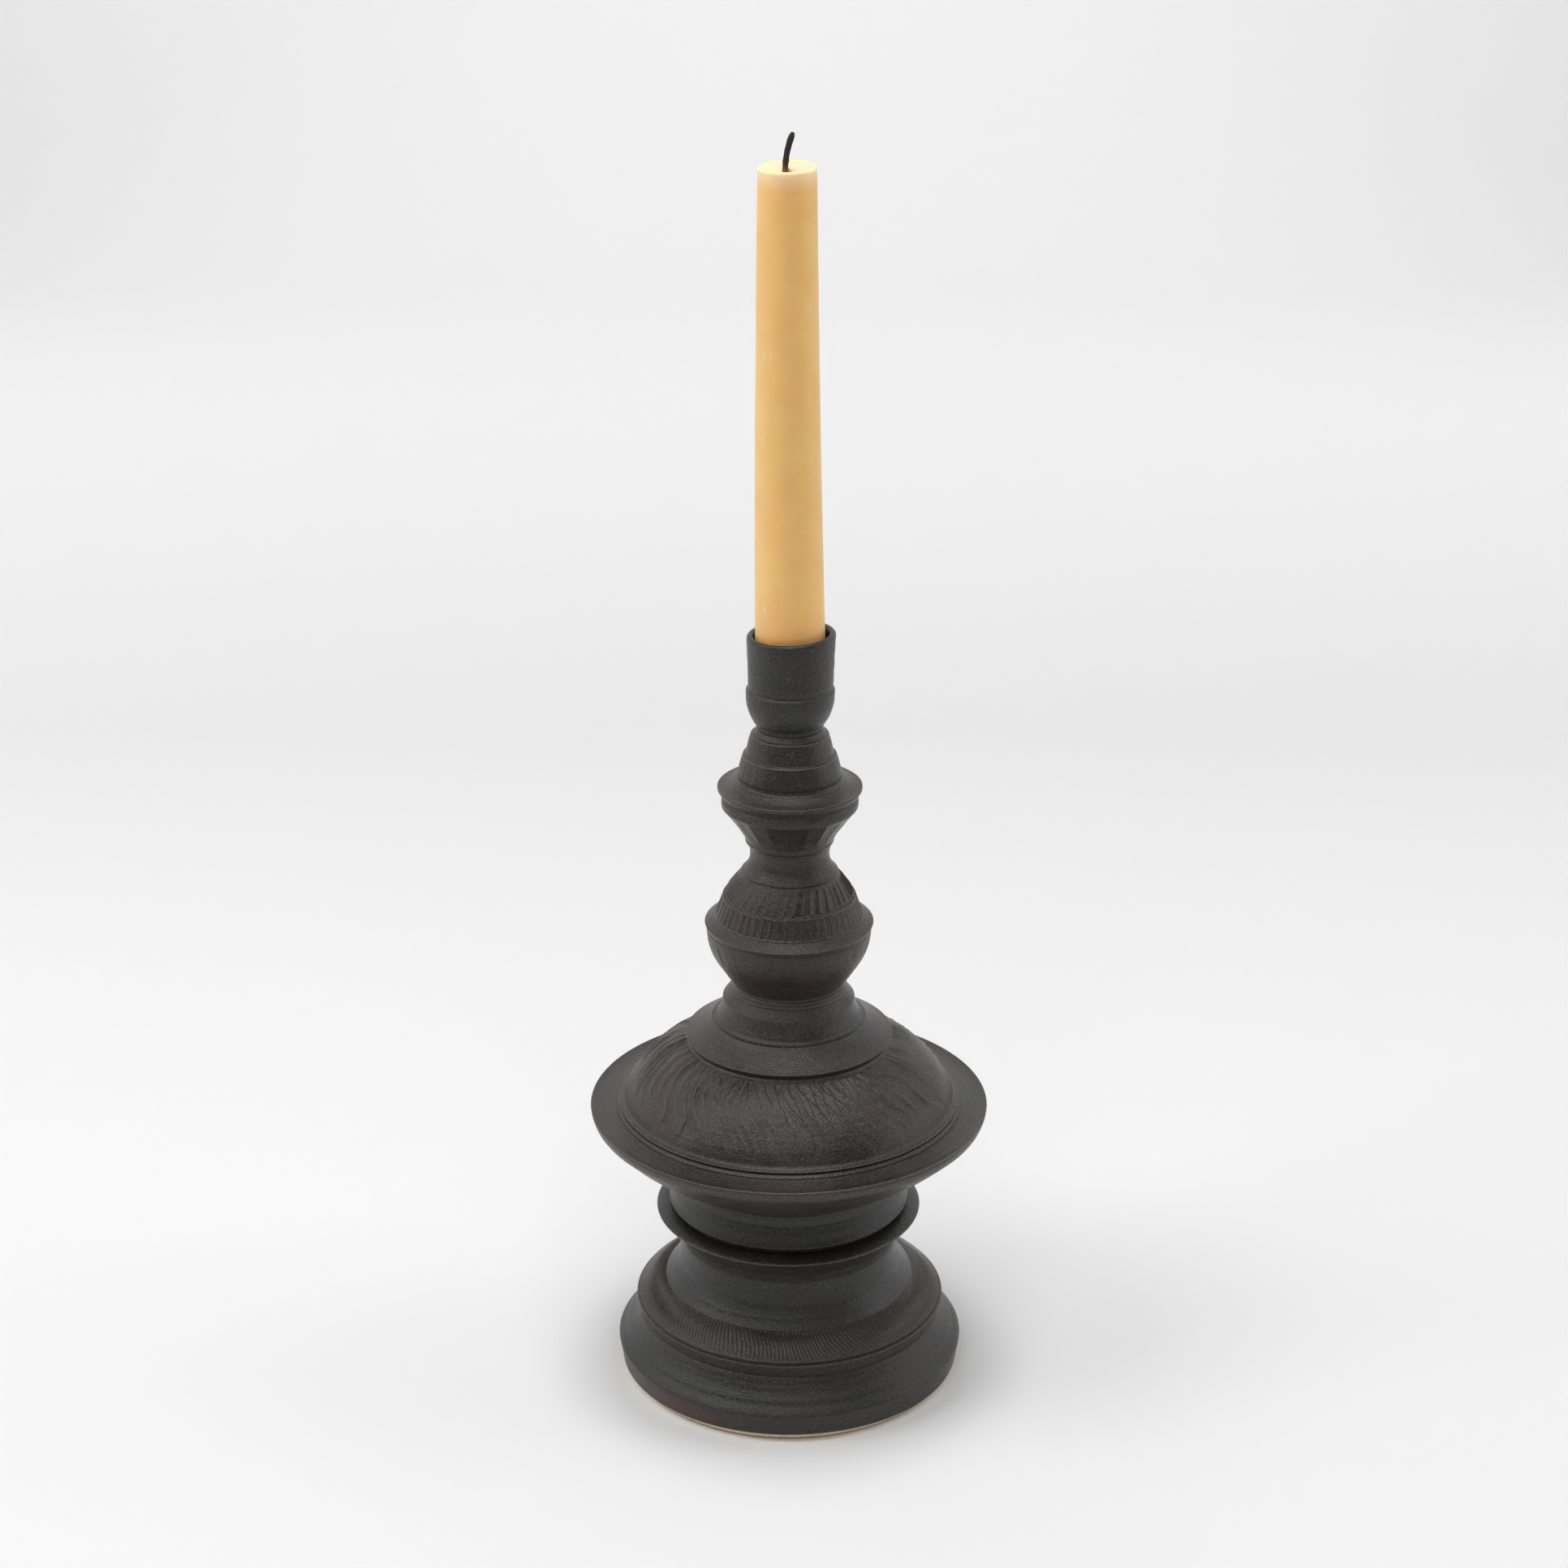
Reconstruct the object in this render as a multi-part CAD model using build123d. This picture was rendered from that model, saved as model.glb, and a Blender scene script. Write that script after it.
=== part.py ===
from build123d import *
import os

# A wheel-thrown stoneware candlestick with a taper candle in its socket. It is a stack of hollow
# sections: each drops its spigot into the bore of the one below and seats on that one's top edge.
# Millimetres, +Z up, origin on the standing face at the centre of the foot.

os.makedirs("parts", exist_ok=True)

# Clay and joints between sections
shell_wall = 5.0            # clay left outside a joint's bore in the wide sections
neck_wall = 3.5             # the same in the narrow sections above the collar
spigot_wall = 3.0
spigot_depth = 3.0
spigot_gap = 0.2            # all round, between a spigot and its bore
bore_relief = 0.6           # room left under a spigot's end

# Plinth: the splayed foot, with a bare clay edge at the bottom
foot_radius = 58.2
foot_arris_height = 10.2
clay_edge_inset = 1.2
clay_edge_height = 2.9
standing_inset = 4.0
standing_width = 6.0
plinth_height = 20.8
plinth_run = 7.8            # how far the slope steps in on its way up
plinth_hollow = 0.5

# Foot band: the sloping, chattered ring on the plinth
band_height = 11.8
band_fascia_height = 4.7
band_fascia_flare = 1.5
band_groove_depth = 0.5
band_groove_width = 0.9
band_top_radius = 41.2
band_swell = 0.5

# Waist: hollowed, flaring to a thin lip
waist_height = 27.4
waist_base_radius = 41.8
waist_hollow = 6.6
waist_lip_radius = 44.3
waist_lip_edge = 0.3
waist_lip_height = 26.0     # the lip rounds over from here to the drum's seat
waist_lip_swell = 0.6

# Drum: the short wall between waist and dish, with a lip over a shadow gap
drum_height = 13.3
drum_seat_radius = 38.4
drum_gap_height = 1.5
drum_lip_radius = 40.2
drum_lip_height = 2.4
drum_top_radius = 37.8
drum_hollow = 0.6

# Dish: the wide bowl that the dome closes
dish_height = 24.3
dish_radius = 66.0
dish_rim_width = 8.3        # flat rim left outside the dome
dish_rim_drop = 0.5         # the rim's arris stands this far below the dome's seat
dish_shoulder_inset = 1.6   # the rim's edge leans in to a shoulder
dish_shoulder_height = 19.6
dish_shoulder_round = 0.35
dish_belly = 1.2
dish_rim_dip = 0.5

# Dome: the carved lid on the dish
dome_height = 23.0
dome_edge_height = 1.9
dome_edge_inset = 1.1
dome_edge_hollow = 0.3      # the edge is hollowed under its arris
dome_foot_flare = 1.0       # and flares again where it meets the dish
dome_ledge_run = 2.0        # the skirt flattens to a ledge inside its edge
dome_ledge_rise = 0.85
dome_ledge_hollow = 0.2
dome_crown_height = 21.8
dome_crown_radius = 33.9
dome_swell = 3.0
dome_top_radius = 33.2

# Collar: three steps between dome and bulb
collar_height = 20.2
collar_lip_radius = 34.2
collar_lip_height = 1.9
collar_cove_top = 7.4
collar_cove_radius = 25.6
collar_cove_hollow = 0.5
collar_step_rise = 0.35
collar_step_run = 1.2
collar_second_top = 14.9
collar_second_radius = 21.7
collar_second_hollow = 0.6
collar_top_radius = 18.8
collar_third_hollow = 0.4

# Lower bulb
bulb_height = 19.8
bulb_base_radius = 18.9
bulb_fillet_height = 1.2
bulb_flank_height = 8.6
bulb_flank_radius = 23.8
bulb_swell = 0.9
bulb_top_radius = 26.9

# Upper bulb: an overhanging band, then two tiers of facets
crown_height = 19.5
crown_band_radius = 27.6
crown_band_lip = 1.7
crown_band_top = 3.8
crown_tier_radius = 24.3
crown_ledge_height = 11.1
crown_ledge_radius = 21.6
crown_top_radius = 15.1
crown_swell = 0.4

# Reel: the narrow hollowed neck
reel_height = 9.9
reel_base_radius = 16.0
reel_hollow = 1.9
reel_top_radius = 13.7

# Drip cup: a fillet ring, a flared cup, a ring and a wide flange
cup_height = 21.6
cup_ring_radius = 14.4
cup_ring_height = 1.7
cup_foot_radius = 14.7
cup_foot_height = 2.6
cup_flare_radius = 22.1
cup_flare_height = 13.0
cup_flare_hollow = 0.3
cup_rim_height = 15.0
cup_notch_radius = 21.4
cup_notch_height = 16.2
flange_radius = 23.3
flange_low_height = 18.7
flange_thickness = 1.0
flange_dish = 0.5
cup_top_radius = 17.7

# Beehive: three tapering tiers
hive_height = 17.6
hive_base_radius = 16.8
hive_base_height = 2.2
hive_base_hollow = 0.5
hive_tier_taper = 1.7
hive_tier_height = 6.4
hive_tier_swell = 0.15
hive_skirt_run = 0.9        # each tier flares over the one below
hive_skirt_rise = 0.6
hive_neck_radius = 10.6

# Socket: a rounded cup and a sleeve for the candle
socket_bore = 12.0
socket_bore_depth = 24.5
socket_floor = 7.3          # clay left under the bore
socket_wall = 2.1           # at the mouth
socket_cup_wall = 2.2       # at the ridge
socket_neck_height = 1.8
socket_neck_flare = 0.5
socket_cup_height = 10.3
socket_cup_swell = 0.6
socket_ridge_height = 13.1
socket_sleeve_inset = 0.7
socket_lip_round = 1.1

# Candle and wick
candle_length = 171.6
candle_play = 0.6           # all round, between the foot of the taper and the bore
candle_taper = 2.4          # how much less the radius is at the tip
candle_seat_gap = 0.1
candle_foot_chamfer = 0.8
candle_rim_round = 0.5
candle_well_radius = 8.4
candle_well_depth = 1.4
wick_radius = 0.95
wick_gap = 0.05
wick_bend_radius = 28.0      # it leans from the well up
wick_bend_angle = 24.0


# Seats, each section's foot on the top edge of the one below
band_seat = plinth_height
waist_seat = band_seat + band_height
drum_seat = waist_seat + waist_height
dish_seat = drum_seat + drum_height
dome_seat = dish_seat + dish_height
collar_seat = dome_seat + dome_height
bulb_seat = collar_seat + collar_height
crown_seat = bulb_seat + bulb_height
reel_seat = crown_seat + crown_height
cup_seat = reel_seat + reel_height
hive_seat = cup_seat + cup_height
socket_seat = hive_seat + hive_height
candle_seat = socket_seat + socket_floor + candle_seat_gap

# Radii that mating sections share
plinth_top_radius = foot_radius - plinth_run
dome_radius = dish_radius - dish_rim_width - dome_edge_inset

socket_cup_radius = socket_bore + socket_cup_wall
candle_radius = socket_bore - candle_play
candle_tip_radius = candle_radius - candle_taper

# Bores that take the spigots
plinth_bore = plinth_top_radius - shell_wall
band_bore = band_top_radius - shell_wall
waist_bore = drum_seat_radius - shell_wall
drum_bore = drum_top_radius - shell_wall
dish_bore = dome_radius - shell_wall
dome_bore = dome_top_radius - shell_wall
collar_bore = collar_top_radius - neck_wall
bulb_bore = bulb_top_radius - neck_wall
crown_bore = crown_top_radius - neck_wall
reel_bore = reel_top_radius - neck_wall
cup_bore = cup_top_radius - neck_wall
hive_bore = hive_neck_radius - neck_wall

bore_depth = spigot_depth + bore_relief


def turned(outline):
    # Corners are (radius, height), anticlockwise. A third number makes the stretch that ends
    # there an arc, and is how far it swells out of the clay, or hollows into it when negative.
    sides = []
    here = outline[-1][:2]
    for corner in outline:
        there = corner[:2]
        if len(corner) == 3:
            sides.append(SagittaArc(here, there, -corner[2]))
        else:
            sides.append(Line(here, there))
        here = there
    face = make_face(sides)
    return revolve(Plane.XZ * face, Axis.Z)


def spigot(lower_bore):
    # The ring that hangs below a seat, as the first corners of an outline
    outer = lower_bore - spigot_gap
    return [(outer - spigot_wall, -spigot_depth), (outer, -spigot_depth), (outer, 0)]


def spigot_inside(lower_bore):
    return lower_bore - spigot_gap - spigot_wall


def save(piece, name, height):
    export_step(Pos(0, 0, height) * piece, f"parts/{name}.step")
    print(f"{name:14s} seat {height:7.2f}  volume {piece.volume / 1000:8.2f} cm3")


def plinth():
    standing = foot_radius - standing_inset
    return turned([
        (standing - standing_width, 0),
        (standing, 0),
        (foot_radius - clay_edge_inset, clay_edge_height),
        (foot_radius, foot_arris_height),
        (plinth_top_radius, plinth_height, -plinth_hollow),
        (plinth_bore, plinth_height),
        (plinth_bore, plinth_height - bore_depth),
    ])


def foot_band():
    fascia = plinth_top_radius + band_fascia_flare
    groove_top = band_fascia_height + band_groove_width
    return turned(spigot(plinth_bore) + [
        (plinth_top_radius, 0),
        (fascia, band_fascia_height),
        (fascia - band_groove_depth - band_groove_width, band_fascia_height + band_groove_width / 2),
        (fascia - band_groove_width, groove_top),
        (band_top_radius, band_height, band_swell),
        (band_bore, band_height),
        (band_bore, band_height - bore_depth),
        (spigot_inside(plinth_bore), 0),
    ])


def waist():
    # The bore follows the hollow, so that the narrowest place keeps its clay
    slim = (waist_base_radius + waist_lip_radius) / 2 - waist_hollow - shell_wall
    inside = spigot_inside(band_bore)
    return turned(spigot(band_bore) + [
        (waist_base_radius, 0),
        (waist_lip_radius, waist_lip_height, -waist_hollow),
        (waist_lip_radius, waist_lip_height + waist_lip_edge),
        (drum_seat_radius, waist_height, waist_lip_swell),
        (waist_bore, waist_height),
        (waist_bore, waist_height - bore_depth),
        (slim, waist_height / 2),
        (inside, 0),
    ])


def drum():
    return turned(spigot(waist_bore) + [
        (drum_seat_radius, 0),
        (drum_seat_radius, drum_gap_height),
        (drum_lip_radius, drum_lip_height),
        (drum_top_radius, drum_height, -drum_hollow),
        (drum_bore, drum_height),
        (drum_bore, drum_height - bore_depth),
        (spigot_inside(waist_bore), 0),
    ])


def dish():
    arris = dish_height - dish_rim_drop
    inside = spigot_inside(drum_bore)
    return turned(spigot(drum_bore) + [
        (drum_top_radius, 0),
        (dish_radius - dish_shoulder_inset, dish_shoulder_height, dish_belly),
        (dish_radius, arris, dish_shoulder_round),
        (dish_radius - dish_rim_width, dish_height, -dish_rim_dip),
        (dish_bore, dish_height),
        (dish_bore, dish_height - bore_depth),
        (inside, 0, -dish_belly),
    ])


def dome():
    inside = spigot_inside(dish_bore)
    return turned(spigot(dish_bore) + [
        (dome_radius + dome_foot_flare, 0),
        (dome_radius - dome_edge_hollow, dome_edge_height / 2),
        (dome_radius, dome_edge_height),
        (dome_radius - dome_ledge_run, dome_edge_height + dome_ledge_rise, -dome_ledge_hollow),
        (dome_crown_radius, dome_crown_height, dome_swell),
        (dome_top_radius, dome_height),
        (dome_bore, dome_height),
        (dome_bore, dome_height - shell_wall),
        (inside, dome_edge_height, -dome_swell),
    ])


def collar():
    return turned(spigot(dome_bore) + [
        (dome_top_radius, 0),
        (collar_lip_radius, collar_lip_height),
        (collar_cove_radius, collar_cove_top, -collar_cove_hollow),
        (collar_cove_radius - collar_step_run, collar_cove_top + collar_step_rise),
        (collar_second_radius, collar_second_top, -collar_second_hollow),
        (collar_top_radius, collar_height, -collar_third_hollow),
        (collar_bore, collar_height),
        (collar_bore, collar_height - bore_depth),
        (spigot_inside(dome_bore), 0, -collar_cove_hollow / 2),
    ])


def bulb_lower():
    return turned(spigot(collar_bore) + [
        (collar_top_radius, 0),
        (bulb_base_radius, bulb_fillet_height),
        (bulb_flank_radius, bulb_flank_height),
        (bulb_top_radius, bulb_height, bulb_swell),
        (bulb_bore, bulb_height),
        (bulb_bore, bulb_height - bore_depth),
        (spigot_inside(collar_bore), 0, -bulb_swell * 2),
    ])


def bulb_upper():
    return turned(spigot(bulb_bore) + [
        (bulb_top_radius, 0),
        (crown_band_radius, crown_band_lip),
        (crown_tier_radius, crown_band_top),
        (crown_ledge_radius, crown_ledge_height),
        (crown_top_radius, crown_height, crown_swell),
        (crown_bore, crown_height),
        (crown_bore, crown_height - bore_depth),
        (spigot_inside(bulb_bore), 0, -crown_swell),
    ])


def reel():
    inside = spigot_inside(crown_bore)
    return turned(spigot(crown_bore) + [
        (reel_base_radius, 0),
        (reel_top_radius, reel_height, -reel_hollow),
        (reel_bore, reel_height),
        (reel_bore, reel_height - bore_depth),
        (inside, reel_height - bore_depth),
    ])


def drip_cup():
    return turned(spigot(reel_bore) + [
        (reel_top_radius, 0),
        (cup_ring_radius, cup_ring_height / 2),
        (cup_ring_radius, cup_ring_height),
        (cup_foot_radius, cup_foot_height),
        (cup_flare_radius, cup_flare_height, -cup_flare_hollow),
        (cup_flare_radius, cup_rim_height),
        (cup_notch_radius, cup_notch_height),
        (flange_radius, flange_low_height),
        (flange_radius, flange_low_height + flange_thickness),
        (cup_top_radius, cup_height, -flange_dish),
        (cup_bore, cup_height),
        (cup_bore, cup_height - bore_depth),
        (spigot_inside(reel_bore), 0),
    ])


def beehive():
    outline = spigot(cup_bore)
    outline.append((cup_top_radius, 0))
    radius = hive_base_radius
    height = hive_base_height
    outline.append((radius, height, -hive_base_hollow))
    for tier in range(2):
        outline.append((radius - hive_tier_taper, height + hive_tier_height, hive_tier_swell))
        radius = radius - hive_tier_taper - hive_skirt_run
        height = height + hive_tier_height + hive_skirt_rise
        outline.append((radius, height))
    return turned(outline + [
        (hive_neck_radius, hive_height),
        (hive_bore, hive_height),
        (hive_bore, hive_height - bore_depth),
        (spigot_inside(cup_bore), 0),
    ])


def socket():
    sleeve = socket_cup_radius - socket_sleeve_inset
    lip = socket_floor + socket_bore_depth - socket_lip_round
    return turned([
        (0, -spigot_depth),
        (hive_bore - spigot_gap, -spigot_depth),
        (hive_bore - spigot_gap, 0),
        (hive_neck_radius, 0),
        (hive_neck_radius + socket_neck_flare, socket_neck_height),
        (socket_cup_radius, socket_cup_height, socket_cup_swell),
        (socket_cup_radius, socket_ridge_height),
        (sleeve, socket_ridge_height + socket_sleeve_inset),
        (socket_bore + socket_wall, lip),
        (socket_bore, lip, socket_lip_round),
        (socket_bore, socket_floor),
        (0, socket_floor),
    ])


def candle():
    foot = candle_radius - candle_foot_chamfer
    crest = candle_tip_radius - candle_rim_round
    wick_hole = wick_radius + wick_gap
    return turned([
        (wick_hole, 0),
        (foot, 0),
        (candle_radius, candle_foot_chamfer),
        (candle_tip_radius, candle_length - candle_rim_round),
        (crest, candle_length, candle_rim_round * 0.29),
        (candle_well_radius, candle_length - candle_rim_round / 2),
        (wick_hole, candle_length - candle_well_depth, -candle_well_depth / 4),
    ])


def wick():
    stem = Line((0, 0), (0, candle_length - candle_well_depth))
    bend = JernArc(stem @ 1, stem % 1, wick_bend_radius, -wick_bend_angle)
    path = Plane.XZ * Wire([stem.edge(), bend.edge()])
    return sweep(Plane.XY * Circle(wick_radius), path=path)


save(plinth(), "plinth", 0)
save(foot_band(), "foot_band", band_seat)
save(waist(), "waist", waist_seat)
save(drum(), "drum", drum_seat)
save(dish(), "dish", dish_seat)
save(dome(), "dome", dome_seat)
save(collar(), "collar", collar_seat)
save(bulb_lower(), "bulb_lower", bulb_seat)
save(bulb_upper(), "bulb_upper", crown_seat)
save(reel(), "reel", reel_seat)
save(drip_cup(), "drip_cup", cup_seat)
save(beehive(), "beehive", hive_seat)
save(socket(), "socket", socket_seat)
save(candle(), "candle", candle_seat)
save(wick(), "wick", candle_seat)
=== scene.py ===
import math
import bpy
import numpy as np
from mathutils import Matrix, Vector


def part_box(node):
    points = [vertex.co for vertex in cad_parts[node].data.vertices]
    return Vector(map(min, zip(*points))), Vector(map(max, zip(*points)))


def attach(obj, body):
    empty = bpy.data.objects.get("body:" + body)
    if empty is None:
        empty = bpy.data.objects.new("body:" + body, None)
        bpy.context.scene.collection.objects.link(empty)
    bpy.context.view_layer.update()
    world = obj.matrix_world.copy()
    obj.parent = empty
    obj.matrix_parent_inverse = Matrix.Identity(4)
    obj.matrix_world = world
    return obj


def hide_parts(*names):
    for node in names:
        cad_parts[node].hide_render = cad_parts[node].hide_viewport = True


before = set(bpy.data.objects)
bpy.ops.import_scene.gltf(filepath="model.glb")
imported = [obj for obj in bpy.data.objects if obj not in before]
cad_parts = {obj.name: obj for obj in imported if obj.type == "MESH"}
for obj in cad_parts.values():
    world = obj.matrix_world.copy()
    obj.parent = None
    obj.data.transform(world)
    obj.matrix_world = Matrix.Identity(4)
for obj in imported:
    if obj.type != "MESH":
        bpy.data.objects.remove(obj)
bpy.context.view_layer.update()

# A thrown stoneware candlestick, lathed section by section from the outlines of its CAD nodes,
# then carved. Metres. Azimuth 0 is the front (-Y), and grows towards the right (+X).

mm = 0.001
tau = 2 * math.pi
print("stage: frame loaded,", len(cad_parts), "nodes")


def cadOutline(node):
    # where the node's mesh is cut just beside y = 0: (radius, height) points, anticlockwise
    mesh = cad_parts[node].data
    points = np.empty(len(mesh.vertices) * 3)
    mesh.vertices.foreach_get("co", points)
    points = points.reshape(-1, 3)
    mesh.calc_loop_triangles()
    corners = np.empty(len(mesh.loop_triangles) * 3, dtype=np.int32)
    mesh.loop_triangles.foreach_get("vertices", corners)
    corners = corners.reshape(-1, 3)
    side = points[:, 1] - 1e-6
    crossed = (side[corners].min(axis=1) < 0) & (side[corners].max(axis=1) > 0)
    links = {}
    for tri in corners[crossed]:
        ends = []
        for a, b in ((tri[0], tri[1]), (tri[1], tri[2]), (tri[2], tri[0])):
            if side[a] * side[b] < 0:
                at = points[a] + (points[b] - points[a]) * side[a] / (side[a] - side[b])
                if at[0] > -1e-9:
                    ends.append((round(at[0], 6), round(at[2], 6)))
        if len(ends) == 2 and ends[0] != ends[1]:
            links.setdefault(ends[0], set()).add(ends[1])
            links.setdefault(ends[1], set()).add(ends[0])
    loose = [key for key in links if len(links[key]) == 1]
    here = min(loose) if loose else min(links, key=lambda key: (key[1], key[0]))
    chain = [here]
    seen = {here}
    while True:
        onward = [key for key in links[here] if key not in seen]
        if not onward:
            break
        here = onward[0]
        seen.add(here)
        chain.append(here)
    loop = np.array(chain)
    ahead = np.roll(loop, -1, axis=0)
    if np.sum(loop[:, 0] * ahead[:, 1] - ahead[:, 0] * loop[:, 1]) < 0:
        loop = loop[::-1]
    return loop


def softened(loop, step, softness):
    # even steps along the loop, with its arrises rounded as a glaze rounds them
    closed = np.vstack([loop, loop[:1]])
    run = np.concatenate([[0], np.cumsum(np.hypot(*np.diff(closed, axis=0).T))])
    count = int(run[-1] / step)
    at = np.arange(count) * run[-1] / count
    even = np.column_stack([np.interp(at, run, closed[:, k]) for k in (0, 1)])
    turns = np.fft.rfftfreq(count, d=run[-1] / count)
    keep = np.exp(-2 * (math.pi * turns * softness) ** 2)
    return np.column_stack([np.fft.irfft(np.fft.rfft(even[:, k]) * keep, count) for k in (0, 1)])


def loopNormals(loop):
    along = np.roll(loop, -1, axis=0) - np.roll(loop, 1, axis=0)
    length = np.hypot(along[:, 0], along[:, 1]) + 1e-12
    return np.column_stack([along[:, 1] / length, -along[:, 0] / length])


def smoothstep(low, high, value):
    t = np.clip((value - low) / (high - low), 0, 1)
    return t * t * (3 - 2 * t)


def grain(shape, seed, wide, tall):
    # seamless unit noise on the lathe grid, wide and tall counted in grid cells
    noise = np.random.RandomState(seed).normal(size=shape)
    u = np.fft.fftfreq(shape[0])[:, None]
    v = np.fft.rfftfreq(shape[1])[None, :]
    keep = np.exp(-2 * math.pi ** 2 * ((u * wide) ** 2 + (v * tall) ** 2))
    smooth = np.fft.irfft2(np.fft.rfft2(noise) * keep, shape)
    return smooth / smooth.std()


def perCut(index, count, seed, low, high):
    # one value for each cut round the piece
    values = np.random.RandomState(seed).uniform(low, high, count)
    return values[np.floor(index).astype(int) % count]


def scoop(phase, power):
    # 0 on the ridge between two cuts and 1 in the middle of a cut
    across = phase - np.floor(phase)
    return 1 - np.abs(2 * across - 1) ** power


def gouge(phase, edge):
    # a cut that starts deep at a sharp ridge and runs out towards the next one
    across = phase - np.floor(phase)
    return smoothstep(0, edge, across) * (1 - across) ** 0.8 + 0.25 * scoop(phase, 2.0)


# the sections aren't quite on one axis: height and shift to the right, in mm
sectionShifts = [(0, 0.2), (20, 0.3), (32, 0.1), (60, -0.15), (97, 0.0), (120, 0.0), (150, -0.05),
                 (180, 0.2), (205, 0.35), (228, 0.25), (260, 0.7)]


def sectionShift(height):
    heights, shifts = np.array(sectionShifts).T * mm
    return np.interp(height, heights, shifts)


def thrownRings(height, rings):
    # rings: (height above the foot, width, amount) in mm, left by fingers and tools
    depth = np.zeros_like(height)
    for at, width, amount in rings:
        depth += np.exp(-((height / mm - at) / width) ** 2) * amount * mm
    return depth


latheLook = {
    "innerFacing": (-0.35, -0.6),   # how far inwards a wall faces before it counts as the inside
    "innerThinning": 4,             # one row in so many is kept on the inside
    "ringCells": 7,                 # throwing rings: parts of the way round
    "ringDepth": 0.025 * mm,
    "unevenCells": 22,
    "unevenRise": 3 * mm,
    "unevenDepth": 0.035 * mm,
    "arrisWearAndHighlight": 0.45 * mm,         # how tight an outline's turn has to be to wear pale and take a painted highlight
    "arrisShare": 0.8,
    "ridgeDepth": 0.05 * mm,        # how proud a ridge of the carving has to be to wear pale and take a painted highlight
    "ridgeWear": 0.8,
}


def latheRows(name, look):
    # the outline's rows, their normals and how far each is inside the piece
    loop = softened(cadOutline(name), look["step"], look["softness"])
    normals = loopNormals(loop)
    inside = smoothstep(*latheLook["innerFacing"], normals[:, 0]) * look.get("hollow", 1)
    keep = np.ones(len(loop), bool)
    hidden = inside > 0.99
    keep[hidden] = np.arange(hidden.sum()) % latheLook["innerThinning"] == 0
    onAxis = loop[:, 0] < 0.6 * look["step"]
    solid = onAxis.any()
    order = np.arange(len(loop))
    if solid:                           # the rows then run from one pole to the other
        order = np.roll(order, -1 - np.flatnonzero(onAxis & ~np.roll(onAxis, -1))[0])
    order = order[(keep & ~onAxis)[order]]
    return loop[order], normals[order], inside[order], solid


def wearAndHighlightMap(loop, depth, solid, ridgeWear):
    # 1 where the glaze is rubbed thin and a painted highlight is laid on, -1 where it pools
    turn = np.cross(np.roll(loop, -1, 0) - loop, loop - np.roll(loop, 1, 0))
    length = np.hypot(*(np.roll(loop, -1, 0) - np.roll(loop, 1, 0)).T) / 2
    rowRubAndHighlight = np.clip(-turn / (length ** 3 + 1e-15) * latheLook["arrisWearAndHighlight"], -1, 1)
    if solid:
        rowRubAndHighlight[[0, -1]] = 0
    blurred = depth.copy()
    for axis, cells in ((0, max(2, len(depth) // 400)), (1, 2)):
        for k in range(1, cells + 1):
            blurred += np.roll(depth, k, axis) + np.roll(depth, -k, axis)
        blurred /= 2 * cells + 1
    ridge = np.clip((depth - blurred) / latheLook["ridgeDepth"], -1, 1)
    return np.clip(rowRubAndHighlight[None, :] * latheLook["arrisShare"] + ridge * ridgeWear, -1, 1)


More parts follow.
